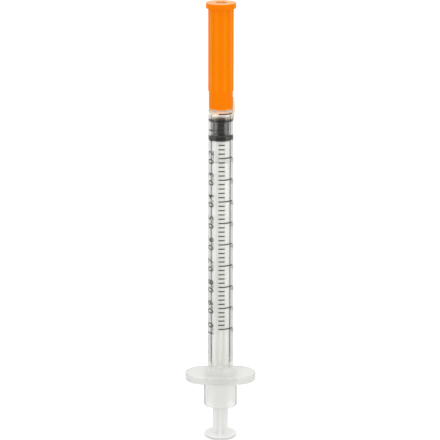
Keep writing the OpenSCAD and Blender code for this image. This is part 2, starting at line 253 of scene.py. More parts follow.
class PrintLooks(PropertyGroup):
    """The printed scale: fifty divisions of 0.02 ml, and its plain numerals."""

    zero_z: length("Zero", "Height of the zero mark", 85.5)
    scale_len: length("Scale", "Length of the scale", 55.7)
    divisions: whole("Divisions", "Divisions of the scale", 50)
    steps: whole("Steps", "Divisions from one long mark to the next", 5)
    line_w: length("Line", "Width of a mark", 0.32)
    ink_t: length("Ink", "Thickness of the ink", 0.012)
    left: turn("Left end", "Where the marks begin, round from the front", -10.5)
    short_end: turn("Short marks", "Where the short marks end", 19)
    long_end: turn("Long marks", "Where the long marks end", 64)
    units_at: turn("Unit numerals", "Where the upright numerals begin", 68)
    units_h: length("Unit numerals' size", "Size of the upright numerals", 1.6)
    units_drop: length("Unit numerals' drop", "How far they stand below their mark", 0.9)
    tenths_at: turn("Turned numerals", "Middle of the numerals along the barrel", -53)
    tenths_h: length("Turned numerals' size", "Size of the numerals along the barrel", 2.9)
    bold: share("Bold", "How much the numerals' strokes are widened", 0.008)
    ink: colour("Ink", "Printing ink", (0.04, 0.034, 0.026))
    thin_ink: colour("Thin ink", "Ink where it lies thin", (0.07, 0.062, 0.05))


class StudioLooks(PropertyGroup):
    """Camera, light and floor."""

    tilt: turn("Tilt", "How far the camera looks down", 15.5)
    roll: turn("Roll", "Lean of the picture", 0.09)
    distance: length("Distance", "From the camera to the point that it looks at", 533.0)
    aim_x: length("Aim sideways", "How far left of the axis the camera looks", 0.165)
    aim_z: length("Aim height", "Height of the point that the camera looks at", 57.7)
    lens: number("Lens", "Focal length in millimetres", 173.5)
    sky: share("Sky", "Strength of the even light from all round", 0.92)
    key: number("Key", "Strength of the soft light on the left", 1.4)
    key_at: point("Key's place", "Middle of that light", (-240, -480, 280))
    fill: number("Fill", "Strength of the soft light on the right", 1.0)
    fill_at: point("Fill's place", "Middle of that light", (360, -420, 160))
    softbox: length("Softbox", "Side of a soft light", 260.0)
    strip: number("Strips", "Strength of the side strips", 1.2)
    deep_gain: number("Inner strips", "How much brighter they are inside the barrel", 3.0)
    front_dim: share("Front dimness", "How much darker gloss sees the front", 0.8)
    inner_dim: share("Inner dimness", "How much darker gloss in the barrel sees the sides", 0.5)
    floor: colour("Floor", "Pale floor", (0.8, 0.8, 0.8))
    glow: share("Glow", "Light that the eye sees added to the floor, which makes it white", 0.4)
    floor_d: length("Floor size", "Across the floor", 3000.0)
    drop: length("Drop", "From the thumb rest down to the floor, room for the drawn plunger", 60.0)


class SyringeLooks(PropertyGroup):
    """All the sizes and colours of the syringe and its studio."""

    barrel: PointerProperty(type=BarrelLooks)
    shield: PointerProperty(type=ShieldLooks)
    rod: PointerProperty(type=RodLooks)
    stopper: PointerProperty(type=StopperLooks)
    needle: PointerProperty(type=NeedleLooks)
    print_: PointerProperty(type=PrintLooks)
    studio: PointerProperty(type=StudioLooks)


# Shapes

def unit(vector):
    """The vector at length 1."""
    return vector / np.linalg.norm(vector)


def rounded(corners, steps=5):
    """Outline through corners (radius, height, rounding), where a rounding is the radius of an arc
    that touches both sides of its corner, and 0 keeps the corner sharp."""
    outline = []
    for i, (radius, height, rounding) in enumerate(corners):
        corner = np.array((radius, height))
        if rounding == 0:
            outline.append(corner)
            continue
        back = unit(np.array(corners[i - 1][:2]) - corner)
        ahead = unit(np.array(corners[i + 1][:2]) - corner)
        half = np.arccos(back @ ahead) / 2
        centre = corner + unit(back + ahead) * rounding / np.sin(half)
        start = corner + back * rounding / np.tan(half) - centre
        end = corner + ahead * rounding / np.tan(half) - centre
        swing = pi - 2 * half
        part = np.linspace(0, 1, steps + 1)[:, None]
        spokes = start * np.sin((1 - part) * swing) + end * np.sin(part * swing)
        outline.extend(centre + spokes / np.sin(swing))
    return np.array(outline)


def held(outline, gap=0.06 * MM):
    """The outline with two more points on each long side, a gap in from its ends, which keep the
    smooth shading of a straight side straight."""
    points = []
    for start, end in zip(outline[:-1], outline[1:]):
        size = np.hypot(*(end - start))
        stops = [0, gap / size, 1 - gap / size] if size > 4 * gap else [0]
        points.extend(start + (end - start) * stop for stop in stops)
    return np.array([*points, outline[-1]])


def around(count):
    """Angles of that many even steps round the axis."""
    return np.arange(count) * 2 * pi / count


def polar(radii, heights, angles):
    """Points (r cos a, r sin a, z), where columns and rows of r, z and a fill up to one table."""
    parts = np.broadcast_arrays(radii * np.cos(angles), radii * np.sin(angles), heights)
    return np.stack(parts, axis=-1)


def soft_min(a, b, soft):
    """The smaller of a and b, rounded by a parabola where they are closer than soft."""
    near = np.maximum(soft - np.abs(a - b), 0) / soft
    return np.minimum(a, b) - near ** 2 * soft / 4


def shell(grid, first=None, last=None, closed=False):
    """Points and faces over a grid whose columns close on themselves. A first or last point closes
    the end rows with fans, and a closed grid joins its last row to its first. Faces point out."""
    rows, columns = grid.shape[:2]
    index = np.arange(rows * columns).reshape(rows, columns)
    if closed:
        index = np.vstack([index, index[:1]])
    beside = np.roll(index, -1, axis=1)
    quads = np.stack([index[:-1], beside[:-1], beside[1:], index[1:]], axis=-1).reshape(-1, 4)
    points = grid.reshape(-1, 3)
    fans = []
    for tip, here, there in ((first, beside[0], index[0]), (last, index[-1], beside[-1])):
        if tip is not None:
            centre = np.full(columns, len(points))
            fans.append(np.stack([centre, here, there], axis=-1))
            points = np.vstack([points, tip])
    fans = np.vstack(fans) if fans else np.empty((0, 3), int)
    halves = np.vstack([quads[:, :3], quads[:, [0, 2, 3]], fans])
    a, b, c = (points[halves[:, k]] for k in range(3))
    if np.einsum("ij,ij->i", a, np.cross(b, c)).sum() < 0:
        quads = quads[:, ::-1]
        fans = fans[:, ::-1]
    return points, quads.tolist() + fans.tolist()


def add_object(name, data):
    """A new object in the scene that shows a mesh, a curve, a light or a camera."""
    thing = bpy.data.objects.new(name, data)
    bpy.context.scene.collection.objects.link(thing)
    return thing


def add_piece(name, shells, material, body):
    """One mesh object from its shells, smooth except at its sharp edges, that rides on its body
    and takes its finish from a slot."""
    points = []
    faces = []
    for shell_points, shell_faces in shells:
        start = sum(map(len, points))
        faces.extend([corner + start for corner in face] for face in shell_faces)
        points.append(shell_points)
    mesh = bpy.data.meshes.new(name)
    mesh.from_pydata(np.vstack(points), [], faces)
    mesh.shade_smooth()
    mesh.set_sharp_from_angle(angle=SHARP)
    mesh.materials.append(material)
    piece = add_object(name, mesh)
    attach(piece, body)
    return piece


def from_nearest(angles, count, first=0):
    """How far each angle is from the nearest of that many even directions, one of them first."""
    pitch = 2 * pi / count
    return np.abs(np.mod(angles - first + pitch / 2, pitch) - pitch / 2)


def flute_radius(angles, looks):
    """Outer radius of the shield's body at each angle: a round whose grip flutes are arcs of their
    own radius, centred outside it, c cos d - sqrt(f f - c c sin d sin d)."""
    body_r = looks.body_d / 2
    off = from_nearest(angles, looks.flute_count, pi / looks.flute_count - pi / 2)
    centre = body_r + looks.flute_r - looks.flute_depth
    inside = np.maximum(looks.flute_r ** 2 - (centre * np.sin(off)) ** 2, 0)
    arc = np.where(inside > 0, centre * np.cos(off) - np.sqrt(inside), centre)
    return soft_min(arc, body_r, looks.flute_soft)


def cross_radius(angles, looks, span):
    """Outer radius of the crossed ribs at each angle: the rib's side is t / sin d away, its outer
    end is a round, and a fillet fills the corner between two ribs."""
    half_t = looks.rib_t / 2
    off = from_nearest(angles, 4)
    side = half_t / np.maximum(np.sin(off), TINY)
    fillet = looks.rib_fillet
    centre = np.sqrt(2) * (half_t + fillet)
    inside = np.maximum(fillet ** 2 - (centre * np.sin(pi / 4 - off)) ** 2, 0)
    corner = centre * np.cos(pi / 4 - off) - np.sqrt(inside)
    in_corner = off > np.arctan(half_t / (half_t + fillet))
    return soft_min(np.where(in_corner, corner, side), span, looks.rib_soft)


def even_angles(radius_at, count, spread=0.6 * MM):
    """Angles whose steps are even along the outline radius_at(angle), or nearly so: each step has
    the same sum of its length and spread times its angle."""
    fine = np.linspace(0, 2 * pi, 40 * count + 1)
    radii = radius_at(fine)
    steps = np.hypot(np.diff(radii * np.cos(fine)), np.diff(radii * np.sin(fine)))
    travelled = np.concatenate([[0], np.cumsum(steps + spread * np.diff(fine))])
    return np.interp(np.linspace(0, travelled[-1], count, endpoint=False), travelled, fine)


def shield_shells(looks):
    """The shield as one closed surface: from the middle of its end, out over the rim, down the
    fluted body and skirt, round the mouth, and up the bore to the end of the chamber."""
    low, top = SHIELD_LOW.z, SHIELD_HIGH.z
    rim_r = SHIELD_HIGH.x
    body_r = looks.body_d / 2
    skirt_r = looks.skirt_d / 2
    grip_r = skirt_r - looks.wall
    chamber_r = looks.chamber_d / 2
    recess_r = looks.recess_d / 2
    step_z = low + looks.skirt_len
    grip_z = low + looks.grip_len
    rim_z = top - looks.rim_t
    chamber_z = top - looks.crown_t
    floor_z = top - looks.recess_depth
    corners = [
        (recess_r, floor_z, 0.08 * MM),
        (recess_r, top, 0.1 * MM),
        (rim_r, top, 0.16 * MM),
        (rim_r, rim_z, 0.08 * MM),
        (body_r, rim_z, 0),
        (body_r, step_z, 0.06 * MM),
        (skirt_r, step_z, 0),
        (skirt_r, low, 0.12 * MM),
        (grip_r + 0.1 * MM, low, 0.08 * MM),
        (grip_r, low + 0.3 * MM, 0),
        (grip_r, grip_z, 0),
        (chamber_r, grip_z + 0.6 * MM, 0),
        (chamber_r, chamber_z - 0.8 * MM, 0),
    ]
    start = (0, floor_z, 0)
    end = (0, chamber_z, 0)
    outline = held(rounded([start, *corners, end]))[1:-1]
    angles = around(360)
    reach, heights = outline.T
    outside = np.arange(len(heights)) < np.argmin(heights)
    fluted = outside & (heights > step_z - TINY) & (heights < rim_z + TINY)
    fluted &= reach < body_r + TINY
    cut = soft_min(reach[:, None], flute_radius(angles, looks), 0.02 * MM)
    radii = np.where(fluted[:, None], cut, reach[:, None])
    grid = polar(radii, heights[:, None], angles)
    return [shell(grid, first=(0, 0, floor_z), last=(0, 0, chamber_z))]


def rod_shells(looks):
    """The rod as one closed surface from the middle of the thumb rest's underside to the tip of
    its head: round rows for thumb rest, discs, neck and head, and crossed rows for the ribs."""
    seat = STOPPER_LOW.z
    thumb_r = ROD_HIGH.x
    rib_r = looks.rib_span / 2
    disc_r = looks.disc_d / 2
    flare_z = looks.thumb_t + looks.flare_h
    front_z = seat - looks.disc_t
    rear_z = front_z - looks.disc_pitch
    head_z = seat + looks.neck_h
    soft = 0.08 * MM
    corners = [
        (0, 0, 0),
        (thumb_r, 0, looks.thumb_edge_r),
        (thumb_r, looks.thumb_t, looks.thumb_edge_r),
        (looks.flare_d / 2, looks.thumb_t, 0),
        (rib_r, flare_z, 0.4 * MM),
        (rib_r, rear_z - looks.disc_t, 0),
        (disc_r, rear_z - looks.disc_t, soft),
        (disc_r, rear_z, soft),
        (rib_r, rear_z, 0),
        (rib_r, front_z, 0),
        (disc_r, front_z, soft),
        (disc_r, seat, soft),
        (looks.neck_d / 2, seat, 0),
        (looks.neck_d / 2, head_z, 0),
        (looks.head_d / 2, head_z, soft),
        (looks.head_d / 2, head_z + looks.head_h, soft),
        (looks.head_tip * looks.head_d / 2, head_z + looks.head_h + looks.head_cone_h, soft),
        (0, ROD_HIGH.z, 0),
    ]
    outline = held(rounded(corners))[1:-1]
    angles = even_angles(lambda a: cross_radius(a, looks, rib_r), 320)
    reach, heights = outline.T
    long_ribs = (heights > looks.thumb_t - TINY) & (heights < rear_z - looks.disc_t + TINY)
    short_ribs = (heights > rear_z - TINY) & (heights < front_z + TINY)
    ribbed = (long_ribs | short_ribs) & (reach < looks.flare_d / 2 + TINY)
    ribbed &= (reach < rib_r + TINY) | (heights < flare_z + MM)
    crossed = cross_radius(angles, looks, reach[:, None])
    radii = np.where(ribbed[:, None], crossed, reach[:, None])
    grid = polar(radii, heights[:, None], angles)
    return [shell(grid, first=(0, 0, 0), last=(0, 0, ROD_HIGH.z))]


def stopper_shells(looks, rod, bore_r):
    """The stopper as one closed surface: from the tip of its cone, down over the two rings and the
    waist to the seat, and up round the pocket for the rod's head."""
    seat = STOPPER_LOW.z
    front = STOPPER_HIGH.z - looks.cone_h
    ring_r = bore_r + looks.squeeze
    waist_r = looks.waist_d / 2
    edge = looks.edge_r
    mouth_r = rod.neck_d / 2 + looks.head_clear
    pocket_r = rod.head_d / 2 + looks.head_clear
    head_z = seat + rod.neck_h - looks.head_clear
    cone_z = head_z + rod.head_h + 2 * looks.head_clear
    end_z = cone_z + rod.head_cone_h
    corners = [
        (0, STOPPER_HIGH.z, 0),
        (ring_r, front, edge),
        (ring_r, front - looks.front_ring_h, edge),
        (waist_r, front - looks.front_ring_h, 0.12 * MM),
        (waist_r, seat + looks.rear_ring_h, 0.12 * MM),
        (ring_r, seat + looks.rear_ring_h, edge),
        (ring_r, seat, edge),
        (mouth_r, seat, 0.1 * MM),
        (mouth_r, head_z, 0),
        (pocket_r, head_z, 0),
        (pocket_r, cone_z, 0),
        (rod.head_tip * rod.head_d / 2 + looks.head_clear, end_z, 0),
        (0, end_z, 0),
    ]
    outline = held(rounded(corners, steps=6))[1:-1]
    radii, heights = outline.T
    grid = polar(radii[:, None], heights[:, None], around(144))
    return [shell(grid, first=(0, 0, STOPPER_HIGH.z), last=(0, 0, end_z))]


def barrel_radius(heights, looks):
    """Outer radius of the tapered barrel at each height."""
    root_z = FLANGE_TOP + looks.root_r
    front_z = BARREL_HIGH.z - looks.hub_len - looks.shoulder_r
    return np.interp(heights, [root_z, front_z], [looks.rear_d / 2, looks.front_d / 2])


def flange_radius(angles):
    """Outer radius of the finger flange at each angle: straight sides at w / 2 / sin a, and half
    rounds of radius w / 2 at both ends."""
    half_w = BARREL_HIGH.y
    end_x = BARREL_HIGH.x - half_w
    across = np.maximum(np.abs(np.sin(angles)), TINY)
    along = np.abs(np.cos(angles))
    inside = np.maximum(half_w ** 2 - (end_x * across) ** 2, 0)
    shaded_side = half_w / across * along < end_x
    return np.where(shaded_side, half_w / across, end_x * along + np.sqrt(inside))


def spread_evenly(outline, count):
    """The outline cut into that many points, at even steps of its length."""
    travelled = np.concatenate([[0], np.cumsum(np.hypot(*np.diff(outline, axis=0).T))])
    stops = np.linspace(0, travelled[-1], count)
    return np.stack([np.interp(stops, travelled, column) for column in outline.T], axis=-1)


def barrel_angles(looks):
    """Even angles with more columns where the hub's ribs and the lug have their sides."""
    side = np.arcsin(looks.rib_w / looks.rib_d)
    foot = np.arcsin(looks.rib_w / looks.hub_d)
    ribs = np.arange(looks.rib_count)[:, None] * 2 * pi / looks.rib_count
    ribs = ribs + np.array([-foot, -side, side, foot])
    lug = looks.lug_w / looks.front_d * np.array([-1.02, -1, -0.94, 0.94, 1, 1.02])
    angles = np.mod(np.concatenate([around(240), ribs.ravel(), lug]), 2 * pi)
    return np.unique(np.round(angles, 6))


def barrel_shells(looks):
    """The barrel as one ring-shaped surface. Its outline runs up the collar, out round the flange,
    up the wall, over the shoulder and the hub, and back down the glue well, channel and bore. The
    flange is drawn round, and at each angle it then takes its own reach, the hub its ribs, and the
    wall its lug."""
    tip_z = BARREL_HIGH.z
    shoulder_z = tip_z - looks.hub_len
    bore_end = shoulder_z - looks.end_wall
    rim_z = BARREL_LOW.z
    bore_r = looks.bore_d / 2
    collar_r = looks.collar_d / 2
    inside_r = collar_r - looks.collar_wall
    front_r = looks.front_d / 2
    core_r = looks.hub_d / 2
    tip_r = looks.hub_tip_d / 2
    flange_r = 9 * MM
    soft = 0.12 * MM
    blunt = 0.2 * MM
    beside_bead = 1.5 * MM
    foot = (front_r + 0.01 * MM, shoulder_z - looks.lug_below, 0)
    angles = barrel_angles(looks)

    low_edge = rounded([
        (inside_r + looks.lip, rim_z, 0),
        (collar_r, rim_z, blunt),
        (collar_r, FLANGE_LOW, 0.06 * MM),
        (flange_r, FLANGE_LOW, looks.edge_r),
        (flange_r, FLANGE_TOP, looks.edge_r),
        (looks.rear_d / 2, FLANGE_TOP, looks.root_r),
        foot,
    ])
    plain = rounded([
        foot, (front_r, shoulder_z, looks.shoulder_r), (core_r + soft, shoulder_z, 0),
    ])
    inner_r = looks.lug_inner_d / 2
    middle_z = shoulder_z + (looks.lug_above - looks.lug_below) / 2
    half = (looks.lug_below + looks.lug_above) / 2
    bow = np.linspace(-1, 1, 25)
    swell = looks.lug_end_t + (looks.lug_t - looks.lug_end_t) * (1 - bow ** 2)
    lens = np.stack([inner_r + swell, middle_z + half * bow], axis=-1)
    lug = np.vstack([
        lens, [(inner_r, middle_z + half), (inner_r, shoulder_z), (core_r + soft, shoulder_z)],
    ])
    rows = 60
    plain = spread_evenly(plain, rows)
    lug = spread_evenly(lug, rows)
    slope = np.array([looks.rib_len - looks.rib_slope, looks.rib_len])
    cone_r = np.interp(slope, [0, looks.hub_len], [core_r, tip_r])
    hub = rounded([
        (core_r + soft, shoulder_z, 0),
        (core_r, shoulder_z + soft, 0),
        *zip(cone_r, shoulder_z + slope, (0, 0)),
        (tip_r, tip_z, blunt),
        (looks.well_d / 2, tip_z, 0.05 * MM),
        (looks.channel_d / 2, tip_z - looks.well_depth, 0),
        (looks.channel_d / 2, bore_end + looks.end_cone_h, 0),
        (bore_r, bore_end, soft),
        (bore_r, looks.bead_z + beside_bead, 0),
    ])
    reach = np.sqrt(looks.bead_r ** 2 - (looks.bead_r - looks.bead_h) ** 2)
    across = np.linspace(1, -1, 17) * reach
    bead = looks.bead_r - looks.bead_h - np.sqrt(looks.bead_r ** 2 - across ** 2)
    bead = np.stack([bore_r + bead, looks.bead_z + across], axis=-1)
    rear = rounded([
        (bore_r, looks.bead_z - beside_bead, 0),
        (bore_r, FLANGE_LOW + looks.funnel, 0.3 * MM),
        (inside_r - 0.4 * MM, FLANGE_LOW, 0.08 * MM),
        (inside_r, FLANGE_LOW, 0.1 * MM),
        (inside_r, rim_z, blunt),
        (inside_r + looks.lip, rim_z, 0),
    ])
    below = held(low_edge)[:-1]
    above = held(np.vstack([hub, bead, rear]))[1:-1]
    outline = np.vstack([below, plain, above])
    with_lug = np.vstack([below, lug, above])

    in_lug = from_nearest(angles, 1) < looks.lug_w / looks.front_d * 1.001
    in_lug = in_lug[None, :, None]
    table = np.where(in_lug, with_lug[:, None, :], outline[:, None, :])
    radii, heights = table[..., 0], table[..., 1]

    on_flange = (np.arange(len(outline)) < len(below))[:, None] & (radii > collar_r)
    from_edge = flange_r - radii
    limit = flange_radius(angles)
    part = (radii - collar_r) / (flange_r - looks.edge_r - collar_r)
    spread = collar_r + (limit - looks.edge_r - collar_r) * part
    on_edge = from_edge < looks.edge_r
    radii = np.where(on_flange, np.where(on_edge, limit - from_edge, spread), radii)

    off = from_nearest(angles, looks.rib_count)
    side_r = looks.rib_w / 2 / np.maximum(np.sin(off), TINY)
    rib_r = np.minimum(side_r, looks.rib_d / 2)
    up_hub = heights - shoulder_z
    lead = np.clip((looks.rib_len - up_hub) / looks.rib_slope, 0, 1)
    on_hub = (up_hub > -TINY) & (np.arange(len(outline))[:, None] >= len(below) + rows - 1)
    on_hub &= (radii > tip_r - 0.1 * MM) & (up_hub <= looks.rib_len + TINY)
    raised = radii + (np.maximum(rib_r, radii) - radii) * lead
    radii = np.where(on_hub, raised, radii)
    return [shell(polar(radii, heights, angles), closed=True)]


def mark_shell(looks, barrel, height, end):
    """One mark as a closed skin of ink: a flat section, carried round the barrel from the left end
    of the scale, whose half width closes at both ends like a pen's round tip."""
    half_w = looks.line_w / 2
    radius = barrel.front_d / 2
    span = (end - looks.left) * radius
    steps = np.linspace(0, pi, 26)[1:-1]
    along = (1 - np.cos(steps)) / 2 * span
    from_end = np.minimum(np.minimum(along, span - along), half_w)
    widths = np.sqrt(half_w ** 2 - (half_w - from_end) ** 2)
    section = np.array([(-1, 0), (-0.96, 1), (0.96, 1), (1, 0)])
    heights = height + widths[:, None] * section[:, 0]
    radii = barrel_radius(heights, barrel) + (section[:, 1] + INK_LIFT) * looks.ink_t
    angles = looks.left + along / radius - pi / 2
    grid = polar(radii, heights, angles[:, None])
    return shell(grid, first=grid[0].mean(axis=0), last=grid[-1].mean(axis=0))


def mark_shells(looks, barrel):
    """All the marks of the scale, with a long one at every few divisions."""
    pitch = looks.scale_len / looks.divisions
    shells = []
    for i in range(looks.divisions + 1):
        end = looks.short_end if i % looks.steps else looks.long_end
        shells.append(mark_shell(looks, barrel, looks.zero_z - i * pitch, end))
    return shells


def flat_text(words, size, bold):
    """Points and triangles of words in the plane, from x = 0 to the right and centred on their
    height, with no edge longer than about a seventh of their size, so that they bend."""
    curve = bpy.data.curves.new("words", "FONT")
    curve.body = words
    curve.size = size
    curve.offset = bold * size
    curve.resolution_u = 4
    holder = add_object("words", curve)
    mesh = holder.to_mesh()
    sheet = bmesh.new()
    sheet.from_mesh(mesh)
    bmesh.ops.remove_doubles(sheet, verts=sheet.verts, dist=1e-7)
    bmesh.ops.triangulate(sheet, faces=sheet.faces)
    longest = 0.15 * size
    for _ in range(3):
        long_edges = [edge for edge in sheet.edges if edge.calc_length() > longest]
        bmesh.ops.subdivide_edges(sheet, edges=long_edges, cuts=1)
        bmesh.ops.triangulate(sheet, faces=sheet.faces)
    points = np.array([vert.co[:2] for vert in sheet.verts])
    sheet.verts.index_update()
    faces = np.array([[vert.index for vert in face.verts] for face in sheet.faces])
    sheet.free()
    bpy.data.objects.remove(holder)
    points -= (points[:, 0].min(), (points[:, 1].min() + points[:, 1].max()) / 2)
    return points, faces


def wrapped(points, faces, looks, barrel, angle, height):
    """Flat print laid round the barrel: x becomes an angle, x / r, and y a height. The sheet gets
    a lower and an upper skin, so each glyph is a thin solid."""
    angles = angle + points[:, 0] / (barrel.front_d / 2) - pi / 2
    heights = height + points[:, 1]
    wall = barrel_radius(heights, barrel)
    lifts = (INK_LIFT, 1 + INK_LIFT)
    skins = [polar(wall + lift * looks.ink_t, heights, angles) for lift in lifts]
    sides = np.vstack([faces[:, [0, 1]], faces[:, [1, 2]], faces[:, [2, 0]]])
    keys = np.sort(sides, axis=1)
    _, first, count = np.unique(keys, axis=0, return_index=True, return_counts=True)
    rims = sides[first[count == 1]]
    size = len(points)
    walls = np.stack([rims[:, 0], rims[:, 1], rims[:, 1] + size, rims[:, 0] + size], axis=-1)
    turned = np.vstack([faces[:, ::-1], faces + size])
    return np.vstack(skins), turned.tolist() + walls.tolist()


def numeral_shells(looks, barrel):
    """Plain numerals at the long marks: units upright at their right ends, and tenths of a
    millilitre along the barrel on the left."""
    pitch = looks.scale_len / looks.divisions * looks.steps
    shells = []
    for i in range(1, looks.divisions // looks.steps + 1):
        height = looks.zero_z - i * pitch
        below = height - looks.units_drop
        points, faces = flat_text(str(10 * i), looks.units_h, 0)
        shells.append(wrapped(points, faces, looks, barrel, looks.units_at, below))
        points, faces = flat_text(f"{i / 10:.1f}", looks.tenths_h, looks.bold)
        points -= (points[:, 0].max() / 2, 0)
        along = np.stack([-points[:, 1], points[:, 0]], axis=-1)
        shells.append(wrapped(along, faces, looks, barrel, looks.tenths_at, height))
    return shells


# Finishes

class Wire:
    """A socket of a material's node tree that works in sums: each operator adds its Math node."""

    def __init__(self, tree, socket=None):
        self.tree = tree
        self.socket = socket

    def node(self, kind, settings=None, inputs=None, output=0):
        """Adds a node of that kind, with its settings first and then its inputs' values or wires,
        and gives the wire from one of its outputs."""
        made = self.tree.nodes.new(kind)
        for name, value in (settings or {}).items():
            setattr(made, name, value)
        for name, value in (inputs or {}).items():
            if isinstance(value, Wire):
                self.tree.links.new(value.socket, made.inputs[name])
            else:
                made.inputs[name].default_value = value
        return Wire(self.tree, made.outputs[output] if made.outputs else None)

    def maths(self, operation, *values):
        """A Math node on those values or wires."""
        return self.node("ShaderNodeMath", {"operation": operation}, dict(enumerate(values)))

    def __add__(self, other):
        return self.maths("ADD", self, other)

    def __mul__(self, other):
        return self.maths("MULTIPLY", self, other)

    def __sub__(self, other):
        return self.maths("SUBTRACT", self, other)

    def __rsub__(self, other):
        return self.maths("SUBTRACT", other, self)

    def __pow__(self, other):
        return self.maths("POWER", self, other)

    __radd__ = __add__
    __rmul__ = __mul__

    def rise(self, low, high):
        """0 below low, 1 above high, a smooth step between them. With low above high it falls."""
        return self.node(
            "ShaderNodeMapRange", {"interpolation_type": "SMOOTHSTEP"},
            {"Value": self, "From Min": low, "From Max": high},
        )

    def past(self, edge, start, end):
        """A smooth step that runs from start to end, in millimetres past an edge."""
        return self.rise(edge + start * MM, edge + end * MM)

    def mix(self, low, high):
        """The colour low where this is 0 and the colour high where it is 1."""
        low, high = (side if isinstance(side, Wire) else rgba(side) for side in (low, high))
        return self.node(
            "ShaderNodeMix", {"data_type": "RGBA"}, {"Factor": self, 6: low, 7: high}, 2,
        )

    def parts(self):
        """The three numbers of a vector."""
        first = self.node("ShaderNodeSeparateXYZ", inputs={0: self})
        return [Wire(self.tree, output) for output in first.socket.node.outputs]


def rgba(colour_value):
    """A colour with full alpha."""
    return (*colour_value, 1)


def new_material(name):
    """An empty material, the wire that adds its nodes, and its Object coordinates."""
    material = bpy.data.materials.new(name)
    material.use_nodes = True
    material.node_tree.nodes.clear()
    start = Wire(material.node_tree)
    return material, start, start.node("ShaderNodeTexCoord", output="Object")


def finished(material, shader):
    """The material with a shader at its output."""
    shader.node("ShaderNodeOutputMaterial", {}, {"Surface": shader})
    return material


def noise(where, waves, detail, along=1):
    """Soft noise from 0 to 1, with that many waves in a metre across the axis, and that number
    times along in a metre of the axis."""
    drawn = where.node(
        "ShaderNodeVectorMath", {"operation": "MULTIPLY"}, {0: where, 1: (1, 1, along)},
    )
    return drawn.node(
        "ShaderNodeTexNoise", {}, {"Vector": drawn, "Scale": waves, "Detail": detail},
    )


def bump(height, distance, strength):
    """Normals that follow a height from 0 to 1 over that distance."""
    return height.node(
        "ShaderNodeBump", {}, {"Height": height, "Distance": distance, "Strength": strength},
    )


def light_path(start, output):
    """What a ray is, or how often it has been turned."""
    return start.node("ShaderNodeLightPath", output=output)


def plastic(start, **sockets):
    """A Principled shader with those inputs, whose names have underscores for spaces."""
    inputs = {name.replace("_", " "): value for name, value in sockets.items()}
    return start.node("ShaderNodeBsdfPrincipled", {}, inputs)


def edge_of_tube(start):
    """0 where an upright wall faces the eye and 1 where it is seen edge on, from any height: the
    cosine between wall and eye, over the eye's level part, which an upright normal gives."""
    toward = 1 - start.node("ShaderNodeLayerWeight", {}, {"Blend": 0.5}, "Facing")
    upright = start.node("ShaderNodeCombineXYZ", {}, {"Z": 1})
    steep = start.node("ShaderNodeLayerWeight", {}, {"Blend": 0.5, "Normal": upright}, "Facing")
    level = (1 - (1 - steep) ** 2) ** 0.5
    return 1 - start.maths("DIVIDE", toward, level)


